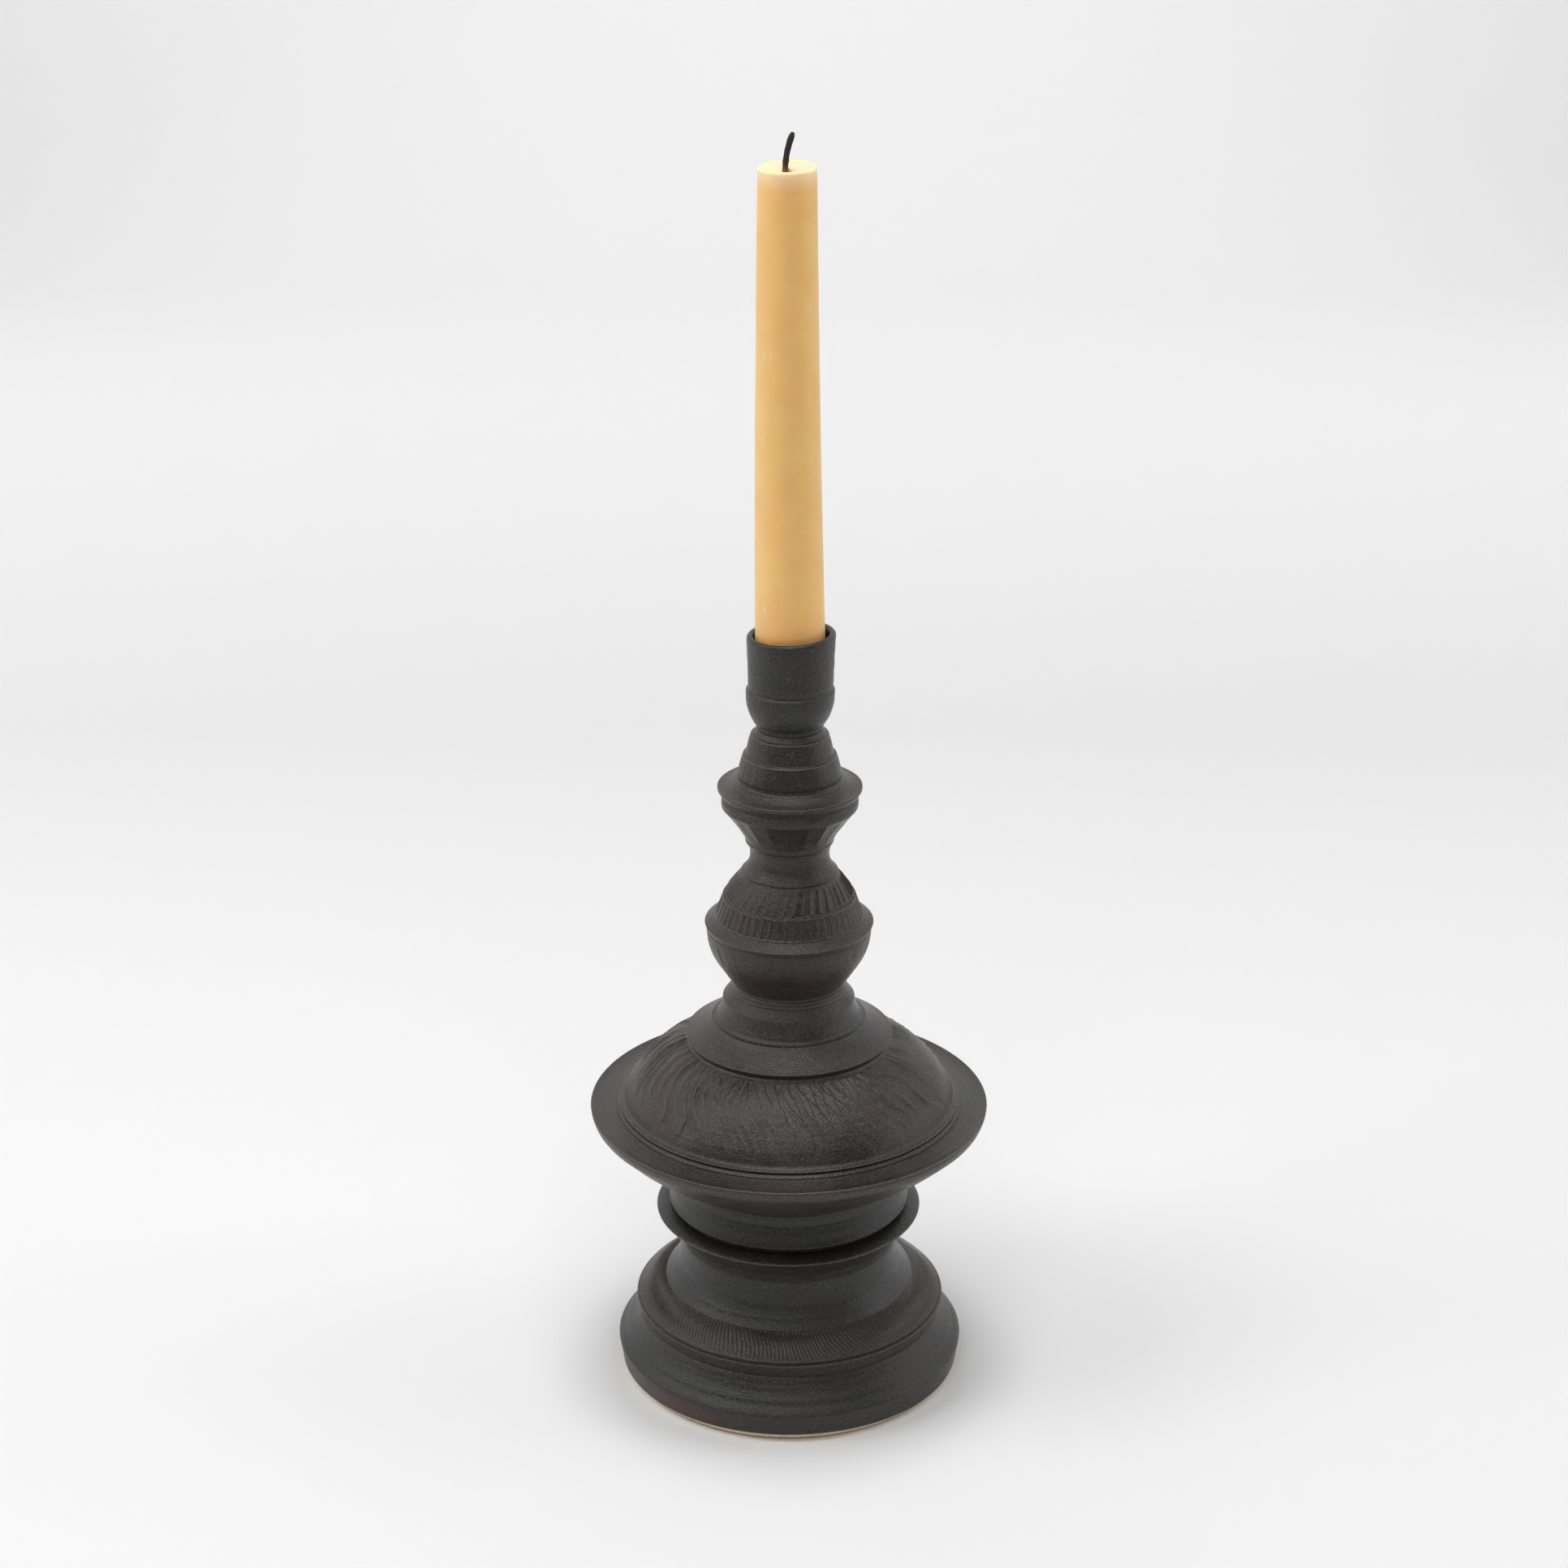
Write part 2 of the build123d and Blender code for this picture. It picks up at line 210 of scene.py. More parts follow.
def turnPiece(name, look):
    # look: material, slot (not used), body, seed, step between rows, around (columns), softness of
    # arrises, rings (height of a throwing ring), and may have carve, marks, bend, hollow, ringDepth,
    # unevenDepth and ridgeWear
    look = {**latheLook, **look}
    loop, normals, inside, solid = latheRows(name, look)
    height = loop[:, 1]
    outward = 1 - inside

    around = look["around"]
    azimuth = np.arange(around)[:, None] * tau / around
    grid = {
        "a": azimuth + np.zeros((1, len(loop))),
        "r": loop[None, :, 0] + np.zeros((around, 1)),
        "z": height[None, :] + np.zeros((around, 1)),
        "shape": (around, len(loop)),
        "low": height.min(), "high": height.max(),
        "out": outward[None, :],
    }
    paint = {}
    depth = np.zeros(grid["shape"])
    if "carve" in look:
        depth, paint = look["carve"](grid)
    if "marks" in look:
        depth = depth + thrownRings(grid["z"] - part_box(name)[0].z, look["marks"])
    depth = depth * outward[None, :]
    ringed = grain(grid["shape"], look["seed"], around / look["ringCells"], look["rings"] / look["step"])
    depth = depth + ringed * look["ringDepth"] * outward[None, :]
    uneven = grain(grid["shape"], look["seed"] + 1, around / look["unevenCells"],
                   look["unevenRise"] / look["step"])
    depth = depth + uneven * look["unevenDepth"]

    radius = grid["r"] + depth * normals[None, :, 0]
    z = grid["z"] + depth * normals[None, :, 1]
    radius = np.maximum(radius, 0)
    z = np.maximum(z, grid["low"])
    x = radius * np.sin(grid["a"]) + sectionShift(z)
    y = -radius * np.cos(grid["a"])
    if "bend" in look:
        x, y, z = look["bend"](x, y, z, grid)

    mesh = bpy.data.meshes.new(name)
    index = np.arange(around * len(loop)).reshape(grid["shape"])
    right = np.roll(index, -1, axis=0)
    faces = np.stack([index, right, np.roll(right, -1, axis=1), np.roll(index, -1, axis=1)], axis=-1)
    points = np.stack([x, y, z], axis=-1).reshape(-1, 3)
    if solid:
        faces = faces[:, :-1]
        points = np.vstack([points, points[index[:, 0]].mean(axis=0), points[index[:, -1]].mean(axis=0)])
    faces = faces.reshape(-1, 4).tolist()
    if solid:
        first, last = index.size, index.size + 1
        faces += [(first, right[k, 0], index[k, 0]) for k in range(around)]
        faces += [(last, index[k, -1], right[k, -1]) for k in range(around)]
    mesh.from_pydata(points.tolist(), [], faces)
    wearAndHighlight = wearAndHighlightMap(loop, depth, solid, look["ridgeWear"])
    paint = {"wearAndHighlight": wearAndHighlight * outward[None, :], "bare": inside[None, :] + np.zeros(grid["shape"]), **paint}
    for label, values in paint.items():
        layer = mesh.attributes.new(label, "FLOAT", "POINT")
        values = np.append(values.ravel(), np.zeros(len(points) - index.size))
        layer.data.foreach_set("value", values.astype(np.float32))
    mesh.polygons.foreach_set("use_smooth", np.ones(len(mesh.polygons), bool))
    mesh.update()
    piece = bpy.data.objects.new("visual_" + name, mesh)
    bpy.context.scene.collection.objects.link(piece)
    mesh.materials.append(look["material"])
    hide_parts(name)
    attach(piece, look["body"])
    print("turned", name, len(mesh.vertices), "points")
    return piece


def newMaterial(name):
    material = bpy.data.materials.new(name)
    material.use_nodes = True
    tree = material.node_tree
    return material, tree, tree.nodes["Principled BSDF"]


def addNode(tree, kind, **settings):
    node = tree.nodes.new(kind)
    for key, value in settings.items():
        setattr(node, key, value)
    return node


def noiseNode(tree, where, scale, detail=3.0, roughness=0.5):
    node = addNode(tree, "ShaderNodeTexNoise")
    node.inputs["Scale"].default_value = scale
    node.inputs["Detail"].default_value = detail
    node.inputs["Roughness"].default_value = roughness
    tree.links.new(where, node.inputs["Vector"])
    return node.outputs["Fac"]


def painted(tree, label):
    return addNode(tree, "ShaderNodeAttribute", attribute_name=label).outputs["Fac"]


def ranged(tree, value, low, high, to0=0.0, to1=1.0):
    node = addNode(tree, "ShaderNodeMapRange", interpolation_type="SMOOTHSTEP")
    tree.links.new(value, node.inputs["Value"])
    for key, number in (("From Min", low), ("From Max", high), ("To Min", to0), ("To Max", to1)):
        node.inputs[key].default_value = number
    return node.outputs["Result"]


def mathNode(tree, kind, a, b):
    node = addNode(tree, "ShaderNodeMath", operation=kind)
    for socket, value in zip(node.inputs, (a, b)):
        if isinstance(value, (int, float)):
            socket.default_value = value
        else:
            tree.links.new(value, socket)
    return node.outputs[0]


def mixed(tree, factor, a, b):
    node = addNode(tree, "ShaderNodeMix", data_type="RGBA")
    for socket, value in zip((node.inputs[0], node.inputs[6], node.inputs[7]), (factor, a, b)):
        if isinstance(value, tuple):
            socket.default_value = (*value, 1)
        elif isinstance(value, (int, float)):
            socket.default_value = value
        else:
            tree.links.new(value, socket)
    return node.outputs[2]


def placeAndHeight(tree):
    place = addNode(tree, "ShaderNodeTexCoord").outputs["Object"]
    apart = addNode(tree, "ShaderNodeSeparateXYZ")
    tree.links.new(place, apart.inputs[0])
    return place, apart.outputs["Z"]


def ringCoordinates(tree):
    # (radius, height) of a point, so that fine lines run round the turned surfaces
    place = addNode(tree, "ShaderNodeTexCoord").outputs["Object"]
    apart = addNode(tree, "ShaderNodeSeparateXYZ")
    tree.links.new(place, apart.inputs[0])
    flat = addNode(tree, "ShaderNodeCombineXYZ")
    tree.links.new(apart.outputs["X"], flat.inputs["X"])
    tree.links.new(apart.outputs["Y"], flat.inputs["Y"])
    length = addNode(tree, "ShaderNodeVectorMath", operation="LENGTH")
    tree.links.new(flat.outputs[0], length.inputs[0])
    rings = addNode(tree, "ShaderNodeCombineXYZ")
    tree.links.new(length.outputs["Value"], rings.inputs["X"])
    tree.links.new(apart.outputs["Z"], rings.inputs["Y"])
    return place, rings.outputs[0]


def bumpNode(tree, heights, normal):
    # heights: (value, distance in metres) pairs, stacked
    onward = None
    for value, distance in heights:
        bump = addNode(tree, "ShaderNodeBump")
        bump.inputs["Distance"].default_value = distance
        bump.inputs["Strength"].default_value = 1.0
        tree.links.new(value, bump.inputs["Height"])
        if onward is not None:
            tree.links.new(onward, bump.inputs["Normal"])
        onward = bump.outputs[0]
    tree.links.new(onward, normal)


glazeLook = {
    "charcoal": (0.0165, 0.0155, 0.0148),
    "umber": (0.040, 0.0260, 0.0185),
    "thinGlazeAndHighlight": (0.095, 0.080, 0.068),    # where the glaze runs thin on an arris, and a painted highlight along arrises and carved ridges
    "pooled": (0.008, 0.0075, 0.007),
    "rust": (0.075, 0.030, 0.016),
    "clay": (0.93, 0.76, 0.54),
    "clayShade": 0.72,
    "roughness": (0.30, 0.42),
    "clayRoughness": 0.9,
    # noises: how many to the metre
    "clouds": 34,
    "speckle": 1500,
    "lines": 1300,
    "pits": 700,
    "cloudRange": (0.62, 0.86),         # where slate turns to umber
    "warmthShift": 0.3,
    "darkSpeckle": 0.55,
    "paleSpeckle": 0.35,
    "pooling": 0.75,
    "rubAndHighlightRange": (0.30, 0.95),
    "bumps": (0.12 * mm, 0.14 * mm, 0.22 * mm),     # lines, pits, speckle
}


def stonewareGlaze(name, warmth):
    look = glazeLook
    material, tree, shader = newMaterial(name)
    place, rings = ringCoordinates(tree)
    clouds = noiseNode(tree, place, look["clouds"], 4, 0.6)
    speckle = noiseNode(tree, place, look["speckle"], 2, 0.7)
    lines = noiseNode(tree, rings, look["lines"], 3, 0.7)
    pits = noiseNode(tree, place, look["pits"], 4, 0.65)
    shift = look["warmthShift"] * warmth
    warm = ranged(tree, clouds, look["cloudRange"][0] - shift, look["cloudRange"][1] - shift)
    colour = mixed(tree, warm, look["charcoal"], look["umber"])
    dark = ranged(tree, speckle, 0.42, 0.62, 0.0, look["darkSpeckle"])
    colour = mixed(tree, dark, colour, look["pooled"])
    pale = ranged(tree, speckle, 0.50, 0.34, 0.0, look["paleSpeckle"])
    colour = mixed(tree, pale, colour, look["thinGlazeAndHighlight"])
    wearAndHighlight = painted(tree, "wearAndHighlight")
    colour = mixed(tree, ranged(tree, wearAndHighlight, -0.08, -0.7, 0.0, look["pooling"]), colour, look["pooled"])
    # paler colour on arrises and proud carved ridges: glaze rubbed thin, and a painted highlight
    rubbedAndHighlight = mathNode(tree, "MULTIPLY", ranged(tree, wearAndHighlight, *look["rubAndHighlightRange"]),
                      ranged(tree, pits, 0.30, 0.62, 0.35, 1.0))
    colour = mixed(tree, rubbedAndHighlight, colour, look["thinGlazeAndHighlight"])
    colour = mixed(tree, painted(tree, "rust"), colour, look["rust"])
    shade = tuple(c * look["clayShade"] for c in look["clay"])
    bare = painted(tree, "bare")
    colour = mixed(tree, bare, colour, mixed(tree, ranged(tree, pits, 0.3, 0.7), look["clay"], shade))
    tree.links.new(colour, shader.inputs["Base Color"])
    gloss = ranged(tree, clouds, 0.3, 0.7, *look["roughness"])
    dull = mathNode(tree, "MULTIPLY", bare, look["clayRoughness"])
    tree.links.new(mathNode(tree, "MAXIMUM", gloss, dull), shader.inputs["Roughness"])
    bumpNode(tree, zip((lines, pits, speckle), look["bumps"]), shader.inputs["Normal"])
    return material


slateGlaze = stonewareGlaze("slate_glaze", 0.25)
umberGlaze = stonewareGlaze("umber_glaze", 0.85)


def stoneware(material, seed, step, around, softness, **more):
    return {"material": material, "seed": seed, "step": step * mm, "around": around,
            "softness": softness * mm, "rings": 0.9 * mm, "slot": "glaze", "body": "candlestick", **more}


plinthLook = {
    "clayLine": 2.0 * mm,       # the bare edge, above the foot
    "lineWander": 0.7 * mm,
    "lineShake": 0.16 * mm,
    "bead": 0.10 * mm,          # glaze that stopped in a bead over the line
    "beadWidth": 0.45 * mm,
    "rustAzimuth": -0.72,
    "rustSpread": 0.34,
    "rustTop": (10.5 * mm, 7 * mm),
    "swirl": 0.03 * mm,
    "swirlPitch": 1.45 * mm,
    "swirlRise": (10 * mm, 12 * mm, 18 * mm, 20 * mm),
    "marks": [(19.6, 0.5, 0.07), (18.4, 0.6, -0.07), (16.4, 0.8, -0.05), (14.2, 0.7, 0.09),
              (12.9, 0.6, -0.07), (11.2, 0.6, 0.06)],
}


def carvePlinth(grid):
    look = plinthLook
    a, z = grid["a"], grid["z"] - grid["low"]
    wander = np.cos(a + 0.5) * look["lineWander"] + grain(grid["shape"], 21, 30, 1e4) * look["lineShake"]
    line = look["clayLine"] + wander
    bare = smoothstep(0.12 * mm, -0.12 * mm, z - line)
    bead = np.exp(-((z - line - look["beadWidth"]) / look["beadWidth"]) ** 2) * look["bead"]
    off = np.angle(np.exp(1j * (a - look["rustAzimuth"])))
    rust = np.exp(-(off / look["rustSpread"]) ** 2) * smoothstep(*look["rustTop"], z)
    rust = np.clip(rust * (0.75 + 0.3 * grain(grid["shape"], 22, 14, 6)), 0, 1) * (1 - bare)
    begin, full, fade, end = look["swirlRise"]
    slope = smoothstep(begin, full, z) * smoothstep(end, fade, z)
    swirl = np.sin(z / look["swirlPitch"] + 0.6 * np.sin(a * 2 + 1)) * look["swirl"] * slope
    inside = 1 - grid["out"]
    return bead + swirl, {"bare": np.maximum(bare, inside), "rust": rust}


turnPiece("plinth", stoneware(slateGlaze, 11, 0.3, 480, 0.2, carve=carvePlinth,
                              marks=plinthLook["marks"]))

bandLook = {
    "chatter": 212,             # marks all round
    "lean": 0.10,
    "depth": 0.32 * mm,
    "rise": 7.2 * mm,
    "wander": 0.35,
    "ridge": 0.22,              # the steep share of a mark
}


def carveBand(grid):
    look = bandLook
    t = (grid["high"] - grid["z"]) / look["rise"]
    wander = grain(grid["shape"], 31, 40, 14) * look["wander"]
    phase = look["chatter"] * (grid["a"] - look["lean"] * t) / tau + wander
    patchy = np.clip(0.75 + 0.45 * grain(grid["shape"], 32, 55, 7), 0.15, 1.5)
    strength = smoothstep(0.0, 0.06, t) * smoothstep(1.0, 0.35, t)
    return -look["depth"] * gouge(phase, look["ridge"]) * patchy * strength, {}


turnPiece("foot_band", stoneware(umberGlaze, 12, 0.22, 1696, 0.16, carve=carveBand, ridgeWear=0.9))

# finger rings: height above the piece's spigot, width and amount, in mm
waistMarks = [(6.2, 0.7, 0.10), (9.4, 1.3, -0.16), (13.5, 1.5, 0.20), (18.5, 1.6, -0.20),
              (24.0, 1.4, 0.18), (28.4, 0.8, -0.10)]
drumMarks = [(6.8, 1.0, -0.10), (9.6, 1.1, 0.12), (12.6, 0.7, -0.10), (14.4, 0.6, 0.10)]
turnPiece("waist", stoneware(slateGlaze, 13, 0.3, 480, 0.2, marks=waistMarks))
turnPiece("drum", stoneware(slateGlaze, 14, 0.3, 480, 0.2, marks=drumMarks))
print("stage: foot turned")

dishMarks = [(26.2, 0.35, -0.13)]
turnPiece("dish", stoneware(umberGlaze, 15, 0.28, 480, 0.16, ringDepth=0.035 * mm, marks=dishMarks))

domeLook = {
    # cuts round the dome, depth, how far a cut runs round on its way down, seed
    "layers": [(66, 0.52 * mm, 0.27, 41), (97, 0.26 * mm, 0.20, 141)],
    "top": 0.7 * mm,            # the cuts begin so far below the top
    "drop": 20.0 * mm,
    "length": 0.98,
    "ridge": 0.16,
    "crumbs": 0.03 * mm,
    "rim": (0.2 * mm, 1.2 * mm),
}


def carveDome(grid):
    look = domeLook
    t = (grid["high"] - look["top"] - grid["z"]) / look["drop"]
    t = np.clip(t, 0, 1) ** 0.8
    sway = 0.45 * t + 0.55 * smoothstep(0, 1, t)
    depth = np.zeros(grid["shape"])
    for cuts, deep, lean, seed in look["layers"]:
        wander = grain(grid["shape"], seed, 24, 16) * 0.26 + grain(grid["shape"], seed + 1, 8, 6) * 0.07
        phase = cuts * (grid["a"] - lean * sway) / tau + wander
        strength = perCut(phase, cuts, seed + 2, 0.3, 1.2)
        fade = perCut(phase, cuts, seed + 3, 0.55, 0.88)
        finish = 1 - smoothstep(fade - 0.15, np.minimum(fade + 0.2, look["length"]), t)
        patchy = np.clip(0.85 + 0.45 * grain(grid["shape"], seed + 4, 16, 12), 0.15, 1.6)
        cut = gouge(phase, look["ridge"]) * strength * patchy
        depth -= deep * cut * smoothstep(0.0, 0.1, t) * finish
    rim = smoothstep(*(grid["high"] - edge for edge in look["rim"]), grid["z"])
    crumbs = np.abs(grain(grid["shape"], 45, 3, 3)) * look["crumbs"] * smoothstep(0.9, 0.3, t)
    return (depth - crumbs) * rim, {}


turnPiece("dome", stoneware(umberGlaze, 16, 0.25, 1320, 0.18, carve=carveDome, ridgeWear=0.6))
collarMarks = [(22.2, 0.28, -0.16), (21.0, 0.28, -0.16), (19.0, 0.8, 0.06), (11.9, 0.6, -0.14),
               (10.5, 0.3, 0.12), (7.5, 0.8, 0.06)]
turnPiece("collar", stoneware(umberGlaze, 17, 0.22, 480, 0.16, marks=collarMarks))
print("stage: dish, dome and collar turned")

bulbLook = {
    "facets": 40,
    "depth": 0.24 * mm,
    "reach": 9.5 * mm,          # how far below the top a facet may run
    "lean": 0.10,
    "frontShare": 0.35,         # the facets are fainter at the front and back
}


def carveBulb(grid):
    look = bulbLook
    t = (grid["high"] - grid["z"]) / look["reach"]
    wander = grain(grid["shape"], 51, 20, 18) * 0.14
    phase = look["facets"] * (grid["a"] - look["lean"] * t) / tau + wander
    reach = perCut(phase, look["facets"], 53, 0.55, 1.0)
    strength = perCut(phase, look["facets"], 52, 0.1, 1.3)
    cut = (0.5 * scoop(phase, 2.0) + 0.5 * gouge(phase, 0.2)) * strength
    front = look["frontShare"]
    sides = front + (1 - front) * smoothstep(0.25, 0.75, np.abs(np.sin(grid["a"])))
    ends = smoothstep(reach, reach - 0.4, t) * smoothstep(0.12, 0.3, t)
    return -look["depth"] * cut * sides * ends, {}


turnPiece("bulb_lower", stoneware(umberGlaze, 18, 0.3, 720, 0.2, carve=carveBulb))

crownLook = {
    "facets": 54,
    "scoops": 42,
    "lowerDepth": 0.30 * mm,
    "upperDepth": 0.85 * mm,
    "upperLean": 0.13,
    "ledge": 8.1 * mm,          # below the top
    "band": 15.2 * mm,          # below the top
    "groove": 0.48 * mm,
    "jag": 0.32 * mm,
    "crumbs": 0.02 * mm,
}


def carveCrown(grid):
    look = crownLook
    shape, down = grid["shape"], grid["high"] - grid["z"]
    # the lower tier and its scalloped top
    phase = look["facets"] * (grid["a"] + 0.004 * down / mm) / tau + grain(shape, 61, 30, 40) * 0.09
    across = np.abs(2 * (phase - np.floor(phase)) - 1)
    jag = (perCut(phase, look["facets"], 62, -0.6, 0.6) + 0.8 * (1 - across ** 2)) * look["jag"]
    edge = look["ledge"] + jag
    lower = 0.5 * scoop(phase, 3.0) + 0.5 * gouge(phase, 0.12)
    lower = lower * perCut(phase, look["facets"], 63, 0.4, 1.25)
    lower = lower * smoothstep(edge + 0.3 * mm, edge + 1.2 * mm, down)
    lower = lower * smoothstep(look["band"], look["band"] - 0.5 * mm, down)
    # the upper tier, where u is 1 at the ledge
    u = down / look["ledge"]
    lean = look["scoops"] * (grid["a"] + look["upperLean"] * u) / tau + grain(shape, 64, 26, 30) * 0.12
    upper = gouge(-lean, 0.10) * perCut(-lean, look["scoops"], 65, 0.35, 1.2)
    upper = upper * smoothstep(0.10, 0.30, u) * smoothstep(0.99, 0.93, u) * (0.45 + 0.55 * u)
    groove = smoothstep(look["ledge"] - 1.2 * mm, look["ledge"] - 0.6 * mm, down)
    groove = groove * smoothstep(edge + 0.16 * mm, edge - 0.02 * mm, down)
    crumbs = np.abs(grain(shape, 66, 2.0, 2.0)) * look["crumbs"] * smoothstep(0.1, 0.2, u)
    crumbs = crumbs * smoothstep(look["band"], look["band"] - 1 * mm, down)
    groove = groove * look["groove"] * (0.6 + 0.4 * perCut(-lean, look["scoops"], 67, 0, 1))
    return -look["lowerDepth"] * lower - np.maximum(upper * look["upperDepth"], groove) - crumbs, {}


turnPiece("bulb_upper", stoneware(umberGlaze, 19, 0.17, 1134, 0.15, carve=carveCrown, ridgeWear=1.0))
turnPiece("reel", stoneware(umberGlaze, 20, 0.28, 300, 0.3))
print("stage: bulb and reel turned")

spigotDepth = 3.0 * mm

cupLook = {
    "facets": 20,
    "depth": 0.30 * mm,
    "rise": (2.6 * mm, 5.0 * mm, 11.0 * mm, 13.0 * mm),     # begins, full, fades, ends
}


def carveCup(grid):
    look = cupLook
    up = grid["z"] - grid["low"] - spigotDepth
    phase = look["facets"] * grid["a"] / tau + grain(grid["shape"], 71, 20, 30) * 0.10
    begin, full, fade, end = look["rise"]
    reach = smoothstep(begin, full, up) * smoothstep(end, fade, up)
    return -look["depth"] * scoop(phase, 2.2) * perCut(phase, look["facets"], 72, 0.4, 1.2) * reach, {}


turnPiece("drip_cup", stoneware(umberGlaze, 21, 0.25, 440, 0.16, carve=carveCup))

hiveLook = {
    "facets": 26,
    "depth": 0.09 * mm,
    "rise": (1.5 * mm, 3.0 * mm, 7.6 * mm, 8.4 * mm),       # on the lowest tier only
    "marks": [(13.1, 0.5, -0.10), (11.7, 0.3, 0.10), (20.1, 0.5, -0.10), (18.7, 0.3, 0.08)],
}


def carveHive(grid):
    look = hiveLook
    up = grid["z"] - grid["low"] - spigotDepth
    phase = look["facets"] * grid["a"] / tau + grain(grid["shape"], 81, 16, 30) * 0.2
    begin, full, fade, end = look["rise"]
    tier = smoothstep(begin, full, up) * smoothstep(end, fade, up)
    left = smoothstep(0.2, -0.6, np.sin(grid["a"]))
    return -look["depth"] * scoop(phase, 2.0) * tier * left, {}


turnPiece("beehive", stoneware(umberGlaze, 22, 0.2, 360, 0.13, carve=carveHive, marks=hiveLook["marks"]))

socketLook = {
    "tilt": 0.040,              # the mouth is lower on the left
    "from": 14 * mm,            # above the socket's foot
    "over": 12 * mm,
    "mouth": (26 * mm, 31 * mm),
    "axis": 0.45 * mm,          # it tilts about a line so far to the right
}


def tiltSocket(x, y, z, grid):
    look = socketLook
    up = z - grid["low"] - spigotDepth
    share = smoothstep(look["from"], look["from"] + look["over"], up) * grid["out"]
    share = np.maximum(share, smoothstep(*look["mouth"], up))
    return x, y, z + (x - look["axis"]) * look["tilt"] * share


turnPiece("socket", stoneware(slateGlaze, 23, 0.25, 360, 0.16, bend=tiltSocket, hollow=0))
print("stage: drip cup, beehive and socket turned")

waxLook = {
    "amber": (1.0, 0.63, 0.23),
    "pale": (0.97, 0.80, 0.56),
    "deep": (0.92, 0.45, 0.14),
    "nickWhite": (0.95, 0.86, 0.72),
    "nickShare": 0.65,
    "roughness": 0.42,
    "scatter": 0.75,
    "scatterRadius": (1.0, 0.45, 0.16),
    "scatterScale": 6 * mm,
    "coat": 0.08,
    "clouds": 60,               # to the metre
    "scuffs": 420,
    "tipDepth": 7 * mm,
    "footShadeBand": (42 * mm, 18 * mm),  # painted shade: the wax is drawn darker and deeper in colour near its foot, in the socket's shadow
    "lean": -1.3 * mm,          # how far the tip stands to the left
    "bow": -0.4 * mm,
    "sag": 0.1 * mm,
    "frontDip": 0.45 * mm,      # the rim has melted lower at the front
    # azimuth, how far under the tip, half width in radians, half height
    "nicks": [(-0.80, 56 * mm, 0.025, 1.3 * mm), (-0.55, 56 * mm, 0.02, 1.5 * mm),
              (-0.77, 137 * mm, 0.02, 1.2 * mm)],
}


def beeswax():
    look = waxLook
    material, tree, shader = newMaterial("beeswax")
    place, height = placeAndHeight(tree)
    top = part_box("candle")[1].z
    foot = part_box("candle")[0].z
    clouds = noiseNode(tree, place, look["clouds"], 4, 0.6)
    colour = mixed(tree, ranged(tree, clouds, 0.3, 0.75, 0.0, 0.35), look["amber"], look["deep"])
    # painted shade low on the candle, near the socket
    low = ranged(tree, height, foot + look["footShadeBand"][0], foot + look["footShadeBand"][1], 0.0, 0.55)
    colour = mixed(tree, low, colour, look["deep"])
    high = ranged(tree, height, top - look["tipDepth"], top - 0.5 * mm, 0.0, 0.75)
    colour = mixed(tree, high, colour, look["pale"])
    nicked = mathNode(tree, "MULTIPLY", painted(tree, "nick"), look["nickShare"])
    colour = mixed(tree, nicked, colour, look["nickWhite"])
    tree.links.new(colour, shader.inputs["Base Color"])
    shader.inputs["Roughness"].default_value = look["roughness"]
    shader.inputs["Subsurface Weight"].default_value = look["scatter"]
    shader.inputs["Subsurface Radius"].default_value = look["scatterRadius"]
    shader.inputs["Subsurface Scale"].default_value = look["scatterScale"]
    shader.inputs["Coat Weight"].default_value = look["coat"]
    scuffs = noiseNode(tree, place, look["scuffs"], 4, 0.6)
    bumpNode(tree, [(clouds, 0.08 * mm), (scuffs, 0.06 * mm)], shader.inputs["Normal"])
    return material


def carveCandle(grid):
    a, down = grid["a"], grid["high"] - grid["z"]
    drawn = grain(grid["shape"], 91, 30, 150) * 0.03 * mm
    melt = smoothstep(5 * mm, 0.5 * mm, down)
    swell = (0.08 * np.cos(a - 0.6) + 0.08 * np.cos(2 * a + 1)) * mm * melt
    nick = np.zeros(grid["shape"])
    for azimuth, under, wide, tall in waxLook["nicks"]:
        off = np.angle(np.exp(1j * (a - azimuth)))
        nick += np.exp(-(off / wide) ** 2 - ((down - under) / tall) ** 2)
    nick = np.clip(nick * 1.2, 0, 1)
    return drawn + swell - nick * 0.08 * mm, {"nick": nick}


def leanCandle(x, y, z, grid):
    look = waxLook
    share = (z - grid["low"]) / (grid["high"] - grid["low"])
    melt = smoothstep(5 * mm, 0, grid["high"] - z)
    dip = (0.12 * mm * np.cos(2 * grid["a"]) - look["frontDip"] * np.cos(grid["a"] + 0.3)) * melt
    bowed = 4 * look["bow"] * share * (1 - share)
    return x + look["lean"] * share + bowed, y, z - look["sag"] * melt + dip


turnPiece("candle", {"material": beeswax(), "seed": 24, "step": 0.3 * mm, "around": 240,
                     "softness": 0.22 * mm, "rings": 3 * mm, "ringDepth": 0.008 * mm,
                     "unevenDepth": 0.01 * mm, "hollow": 0, "slot": "wax", "body": "candle",
                     "carve": carveCandle, "bend": leanCandle})

wickLook = {
    "charDark": (0.012, 0.010, 0.010),
    "charPale": (0.05, 0.035, 0.03),
    "rawRed": (0.33, 0.12, 0.06),
    "rawDark": (0.10, 0.04, 0.03),
    "fibres": 1800,             # to the metre
    "roughness": 0.85,
    "bendRadius": 28 * mm,
    "bendAngle": math.radians(24),
    "radius": 0.92 * mm,
    "strands": 3,
    "strandDepth": 0.10,
    "twist": 1100,              # radians a metre
    "around": 28,
    "tipRows": 10,              # the last rows close to a blunt tip
}


